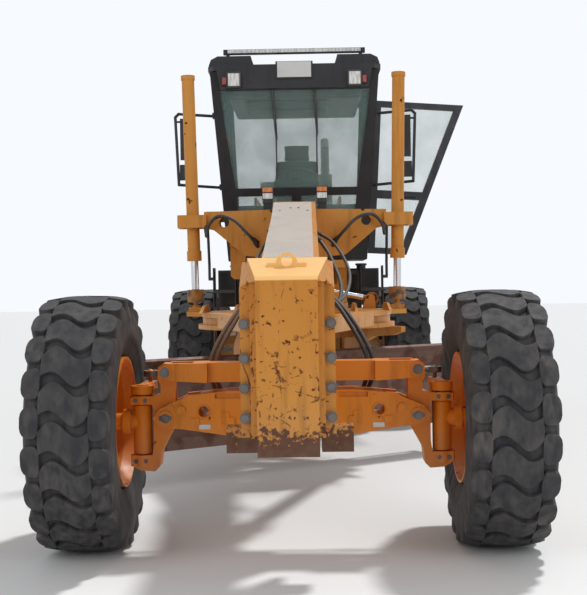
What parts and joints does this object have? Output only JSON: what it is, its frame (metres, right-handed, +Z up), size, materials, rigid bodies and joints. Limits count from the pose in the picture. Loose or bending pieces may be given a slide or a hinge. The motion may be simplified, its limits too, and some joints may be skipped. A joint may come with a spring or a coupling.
{
  "type": "motor grader",
  "caption": "Motor grader with an articulated frame, leaning front wheels, a blade on a turning circle and an open cab door",
  "frame": {"origin": "on the ground, under the middle of the front axle, on the machine's centre plane", "axes": "+Z up, +Y towards the machine's rear, +X towards its own left side, where the open cab door is"},
  "size_m": [3.1521, 9.63, 3.5219],
  "materials": {
    "ochre_paint": "scraped, rust in the scratches",
    "bare_steel": "sooty",
    "black_paint": "satin black",
    "tinted_glass": "green tint",
    "seat_fabric": "woven",
    "console_plastic": "moulded",
    "orange_paint": "bright orange gloss, scuffed",
    "worn_blade": "rusty and worn",
    "chrome_rod": "polished",
    "tyre_rubber": "dusty worn rubber"
  },
  "bodies": {
    "rear_body": {"rear_frame": "ochre_paint", "engine_block": "bare_steel", "hood": "ochre_paint", "side_tanks": "black_paint", "cab_frame": "black_paint", "cab_glass": "tinted_glass", "operator_seat": "seat_fabric", "steering_console": "console_plastic", "cab_steps": "black_paint", "roof_lamps": "black_paint", "mirrors": "black_paint", "exhaust_stack": "bare_steel", "rear_axle": "ochre_paint"},
    "front_body": {"front_frame": "ochre_paint", "push_block": "ochre_paint", "headlamps": "black_paint"},
    "axle_body": {"front_axle": "orange_paint"},
    "lean_bar_body": {"lean_bar": "orange_paint"},
    "tie_rod_body": {"tie_rod": "bare_steel"},
    "tie_rod_ball_body": {"tie_rod_ball": "bare_steel"},
    "drawbar_body": {"drawbar": "ochre_paint"},
    "circle_body": {"circle": "ochre_paint"},
    "carrier_body": {"blade_carrier": "ochre_paint"},
    "moldboard_body": {"moldboard": "worn_blade"},
    "shift_barrel_body": {"shift_barrel": "ochre_paint"},
    "shift_rod_body": {"shift_rod": "chrome_rod"},
    "bracket_left_body": {"wheel_bracket_left": "orange_paint"},
    "knuckle_left_body": {"knuckle_left": "orange_paint"},
    "wheel_front_left_body": {"rim_front_left": "orange_paint", "tyre_front_left": "tyre_rubber"},
    "bracket_right_body": {"wheel_bracket_right": "orange_paint"},
    "knuckle_right_body": {"knuckle_right": "orange_paint"},
    "wheel_front_right_body": {"rim_front_right": "orange_paint", "tyre_front_right": "tyre_rubber"},
    "lift_barrel_left_body": {"lift_barrel_left": "ochre_paint"},
    "lift_rod_left_body": {"lift_rod_left": "chrome_rod"},
    "lift_barrel_right_body": {"lift_barrel_right": "ochre_paint"},
    "lift_rod_right_body": {"lift_rod_right": "chrome_rod"},
    "tandem_left_body": {"tandem_left": "ochre_paint"},
    "wheel_mid_left_body": {"rim_mid_left": "orange_paint", "tyre_mid_left": "tyre_rubber"},
    "wheel_rear_left_body": {"rim_rear_left": "orange_paint", "tyre_rear_left": "tyre_rubber"},
    "tandem_right_body": {"tandem_right": "ochre_paint"},
    "wheel_mid_right_body": {"rim_mid_right": "orange_paint", "tyre_mid_right": "tyre_rubber"},
    "wheel_rear_right_body": {"rim_rear_right": "orange_paint", "tyre_rear_right": "tyre_rubber"},
    "hood_door_left_body": {"hood_door_left": "ochre_paint"},
    "cab_door_left_body": {"cab_door_left": "black_paint", "door_glass_left": "tinted_glass"},
    "hood_door_right_body": {"hood_door_right": "ochre_paint"},
    "cab_door_right_body": {"cab_door_right": "black_paint", "door_glass_right": "tinted_glass"}
  },
  "joints": [
    {"name": "articulation", "type": "hinge", "parent": "rear_body", "child": "front_body", "pos_m": [0, 3.86, 1.4], "axis": [0, 0, 1], "range_deg": [-20, 20]},
    {"name": "axle_oscillation", "type": "hinge", "parent": "front_body", "child": "axle_body", "pos_m": [0, 0, 0.74], "axis": [0, 1, 0], "range_deg": [-16, 16]},
    {"name": "lean_left", "type": "hinge", "parent": "axle_body", "child": "bracket_left_body", "pos_m": [0.66, 0, 0.7], "axis": [0, 1, 0], "range_deg": [-18, 18]},
    {"name": "steer_left", "type": "hinge", "parent": "bracket_left_body", "child": "knuckle_left_body", "pos_m": [0.795, 0, 0.64], "axis": [0, 0, 1], "range_deg": [-40, 40]},
    {"name": "spin_front_left", "type": "hinge", "parent": "knuckle_left_body", "child": "wheel_front_left_body", "pos_m": [1.075, 0, 0.674], "axis": [1, 0, 0], "continuous": true},
    {"name": "lean_right", "type": "hinge", "parent": "axle_body", "child": "bracket_right_body", "pos_m": [-0.66, 0, 0.7], "axis": [0, 1, 0], "range_deg": [-18, 18]},
    {"name": "steer_right", "type": "hinge", "parent": "bracket_right_body", "child": "knuckle_right_body", "pos_m": [-0.795, 0, 0.64], "axis": [0, 0, 1], "range_deg": [-40, 40]},
    {"name": "spin_front_right", "type": "hinge", "parent": "knuckle_right_body", "child": "wheel_front_right_body", "pos_m": [-1.075, 0, 0.674], "axis": [1, 0, 0], "continuous": true},
    {"name": "lean_bar_turn", "type": "hinge", "parent": "bracket_left_body", "child": "lean_bar_body", "pos_m": [0.66, 0, 0.94], "axis": [0, 1, 0], "range_deg": [-18, 18]},
    {"name": "tie_rod_swivel", "type": "hinge", "parent": "knuckle_left_body", "child": "tie_rod_ball_body", "pos_m": [0.795, 0.3, 0.905], "axis": [0, 0, 1], "range_deg": [-40, 40]},
    {"name": "tie_rod_turn", "type": "hinge", "parent": "tie_rod_ball_body", "child": "tie_rod_body", "pos_m": [0.795, 0.3, 0.905], "axis": [0, 1, 0], "range_deg": [-18, 18]},
    {"name": "drawbar_lift", "type": "hinge", "parent": "front_body", "child": "drawbar_body", "pos_m": [0, 0.52, 1.08], "axis": [1, 0, 0], "range_deg": [-6, 5]},
    {"name": "circle_turn", "type": "hinge", "parent": "drawbar_body", "child": "circle_body", "pos_m": [0, 2.75, 1.1], "axis": [0, 0, 1], "continuous": true},
    {"name": "blade_pitch", "type": "hinge", "parent": "circle_body", "child": "carrier_body", "pos_m": [0.01678, 2.72513, 0.64], "axis": [0.829, 0.5592, 0], "range_deg": [-5, 40]},
    {"name": "blade_shift", "type": "slide", "parent": "carrier_body", "child": "moldboard_body", "axis": [0.829, 0.5592, 0], "range_m": [-0.65, 0.65]},
    {"name": "lift_barrel_left_swing", "type": "hinge", "parent": "front_body", "child": "lift_barrel_left_body", "pos_m": [0.815, 2.9, 1.9], "axis": [1, 0, 0], "range_deg": [-3, 3]},
    {"name": "lift_rod_left_slide", "type": "slide", "parent": "lift_barrel_left_body", "child": "lift_rod_left_body", "axis": [0.02, 0, 0.9998], "range_m": [-0.255, 0.215]},
    {"name": "lift_barrel_right_swing", "type": "hinge", "parent": "front_body", "child": "lift_barrel_right_body", "pos_m": [-0.815, 2.9, 1.9], "axis": [1, 0, 0], "range_deg": [-3, 3]},
    {"name": "lift_rod_right_slide", "type": "slide", "parent": "lift_barrel_right_body", "child": "lift_rod_right_body", "axis": [-0.02, 0, 0.9998], "range_m": [-0.255, 0.215]},
    {"name": "shift_barrel_swing", "type": "hinge", "parent": "front_body", "child": "shift_barrel_body", "pos_m": [-0.47, 3.08, 1.485], "axis": [0, 1, 0], "range_deg": [-15, 17.5]},
    {"name": "shift_rod_slide", "type": "slide", "parent": "shift_barrel_body", "child": "shift_rod_body", "axis": [0.9795, 0, -0.2014], "range_m": [-0.055, 0.065]},
    {"name": "tandem_left_swing", "type": "hinge", "parent": "rear_body", "child": "tandem_left_body", "pos_m": [0.7, 6.28, 0.724], "axis": [1, 0, 0], "range_deg": [-15, 15]},
    {"name": "spin_mid_left", "type": "hinge", "parent": "tandem_left_body", "child": "wheel_mid_left_body", "pos_m": [1.075, 5.494, 0.674], "axis": [1, 0, 0], "continuous": true},
    {"name": "spin_rear_left", "type": "hinge", "parent": "tandem_left_body", "child": "wheel_rear_left_body", "pos_m": [1.075, 7.066, 0.674], "axis": [1, 0, 0], "continuous": true},
    {"name": "tandem_right_swing", "type": "hinge", "parent": "rear_body", "child": "tandem_right_body", "pos_m": [-0.7, 6.28, 0.724], "axis": [1, 0, 0], "range_deg": [-15, 15]},
    {"name": "spin_mid_right", "type": "hinge", "parent": "tandem_right_body", "child": "wheel_mid_right_body", "pos_m": [-1.075, 5.494, 0.674], "axis": [1, 0, 0], "continuous": true},
    {"name": "spin_rear_right", "type": "hinge", "parent": "tandem_right_body", "child": "wheel_rear_right_body", "pos_m": [-1.075, 7.066, 0.674], "axis": [1, 0, 0], "continuous": true},
    {"name": "hood_door_left_open", "type": "hinge", "parent": "rear_body", "child": "hood_door_left_body", "pos_m": [0.511, 5.697, 1.75], "axis": [0, 0, -1], "range_deg": [0, 90]},
    {"name": "hood_door_right_open", "type": "hinge", "parent": "rear_body", "child": "hood_door_right_body", "pos_m": [-0.511, 5.697, 1.75], "axis": [0, 0, 1], "range_deg": [0, 90]},
    {"name": "cab_door_left_close", "type": "hinge", "parent": "rear_body", "child": "cab_door_left_body", "pos_m": [0.76698, 4.982, 3.29929], "axis": [-0.0593, 0, -0.9982], "range_deg": [0, 95]},
    {"name": "cab_door_right_open", "type": "hinge", "parent": "rear_body", "child": "cab_door_right_body", "pos_m": [-0.76698, 4.982, 3.29929], "axis": [0.0593, 0, -0.9982], "range_deg": [0, 95]}
  ],
  "couplings": [
    {"joint": "lean_right", "follows": "lean_left", "ratio": 1},
    {"joint": "lean_bar_turn", "follows": "lean_left", "ratio": -1},
    {"joint": "steer_right", "follows": "steer_left", "ratio": 1},
    {"joint": "tie_rod_swivel", "follows": "steer_left", "ratio": -1},
    {"joint": "tie_rod_turn", "follows": "lean_left", "ratio": -0.83},
    {"joint": "lift_barrel_left_swing", "follows": "drawbar_lift", "ratio": -0.3},
    {"joint": "lift_rod_left_slide", "follows": "drawbar_lift", "m_per_rad": 2.36},
    {"joint": "lift_barrel_right_swing", "follows": "drawbar_lift", "ratio": -0.3},
    {"joint": "lift_rod_right_slide", "follows": "drawbar_lift", "m_per_rad": 2.36},
    {"joint": "shift_barrel_swing", "follows": "drawbar_lift", "ratio": -2.24},
    {"joint": "shift_rod_slide", "follows": "drawbar_lift", "m_per_rad": -0.56}
  ]
}
